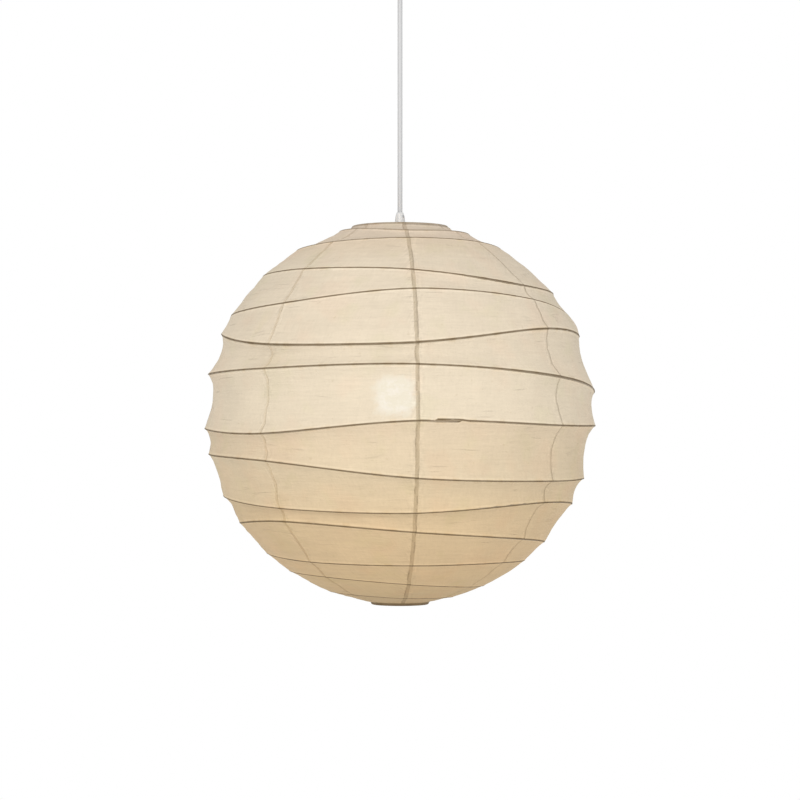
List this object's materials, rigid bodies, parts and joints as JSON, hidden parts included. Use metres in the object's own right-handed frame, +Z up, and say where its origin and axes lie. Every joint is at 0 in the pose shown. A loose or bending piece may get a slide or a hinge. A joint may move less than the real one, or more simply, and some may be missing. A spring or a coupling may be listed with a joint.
{
  "type": "paper lantern pendant lamp",
  "caption": "Round white paper lantern on a spiral wire rib, hung by its cord from a ceiling canopy, with a lampholder, bulb and wire expander inside.",
  "frame": {"origin": "on the ceiling, at the middle of the ceiling bracket's upper face", "axes": "+Z up, -Y towards the front, +X to the right as seen from the front"},
  "size_m": [0.3986, 0.3986, 0.6683],
  "materials": {
    "paper": "matte",
    "rib_wire": "satin",
    "steel": "satin",
    "white_plastic": "satin",
    "white_cord": "satin",
    "opal": "satin",
    "brass": "satin",
    "nickel": "polished",
    "ceramic": "satin",
    "brown_core": "satin",
    "blue_core": "satin"
  },
  "bodies": {
    "ceiling": {"ceiling_bracket": "steel", "canopy": "white_plastic", "canopy_screw_left": "nickel", "canopy_screw_right": "nickel", "terminal_block": "white_plastic", "terminal_screw_live": "brass", "terminal_screw_neutral": "brass", "cord_in_canopy": "white_cord", "live_core_in_canopy": "brown_core", "neutral_core_in_canopy": "blue_core", "cord_stop": "white_plastic", "cord_bush": "white_plastic"},
    "boot": {"cord_boot": "white_plastic"},
    "hanging_cord": {"cord": "white_cord"},
    "lantern": {"cord_grip": "white_plastic", "cord_grip_screw": "white_plastic", "holder_cap": "white_plastic", "holder_skirt": "white_plastic", "holder_insulator": "ceramic", "screw_shell": "brass", "centre_contact": "brass", "cord_in_holder": "white_cord", "holder_screw_live": "brass", "holder_screw_neutral": "brass", "live_core_in_holder": "brown_core", "neutral_core_in_holder": "blue_core", "expander_plate": "steel", "expander_arm_front": "steel", "expander_arm_back": "steel", "top_rim": "steel", "rib_wire_upper": "rib_wire", "rib_wire_lower": "rib_wire", "gore_1": "paper", "gore_2": "paper", "gore_3": "paper", "gore_4": "paper", "gore_5": "paper", "gore_6": "paper", "gore_7": "paper", "gore_8": "paper"},
    "holder_ring": {"retaining_ring": "white_plastic"},
    "bulb": {"bulb_screw_cap": "nickel", "bulb_contact": "brass", "bulb_collar": "white_plastic", "led_board": "white_plastic", "bulb_globe": "opal"},
    "lower_rim": {"bottom_rim": "steel"},
    "left_leg": {"expander_leg_left": "steel"},
    "right_leg": {"expander_leg_right": "steel"}
  },
  "joints": [
    {"name": "swing_front", "type": "hinge", "parent": "ceiling", "child": "boot", "pos_m": [0, 0, -0.0353], "axis": [1, 0, 0], "range_deg": [-20, 20]},
    {"name": "swing_side", "type": "hinge", "parent": "boot", "child": "hanging_cord", "pos_m": [0, 0, -0.0436], "axis": [0, 1, 0], "range_deg": [-20, 20]},
    {"name": "twist", "type": "hinge", "parent": "hanging_cord", "child": "lantern", "pos_m": [0, 0, -0.2688], "axis": [0, 0, 1], "range_deg": [-180, 180], "stiffness_Nm_per_rad": 0.002},
    {"name": "ring_off", "type": "slide", "parent": "lantern", "child": "holder_ring", "axis": [0, 0, -1], "range_m": [0, 0.02]},
    {"name": "bulb_out", "type": "slide", "parent": "lantern", "child": "bulb", "axis": [0, 0, -1], "range_m": [0, 0.03]},
    {"name": "shade_lift", "type": "slide", "parent": "lantern", "child": "lower_rim", "axis": [0, 0, 1], "range_m": [0, 0.135], "deforming": ["gore_1", "gore_2", "gore_3", "gore_4", "gore_5", "gore_6", "gore_7", "gore_8", "rib_wire_upper", "rib_wire_lower"]},
    {"name": "leg_left_squeeze", "type": "hinge", "parent": "lantern", "child": "left_leg", "pos_m": [-0.0285, 0, -0.34835], "axis": [0, -1, 0], "range_deg": [0, 3.6]},
    {"name": "leg_right_squeeze", "type": "hinge", "parent": "lantern", "child": "right_leg", "pos_m": [0.0285, 0, -0.34835], "axis": [0, 1, 0], "range_deg": [0, 3.6]}
  ],
  "couplings": [
    {"joint": "leg_left_squeeze", "follows": "shade_lift", "rad_per_m": 0.4525},
    {"joint": "leg_right_squeeze", "follows": "shade_lift", "rad_per_m": 0.4525}
  ]
}
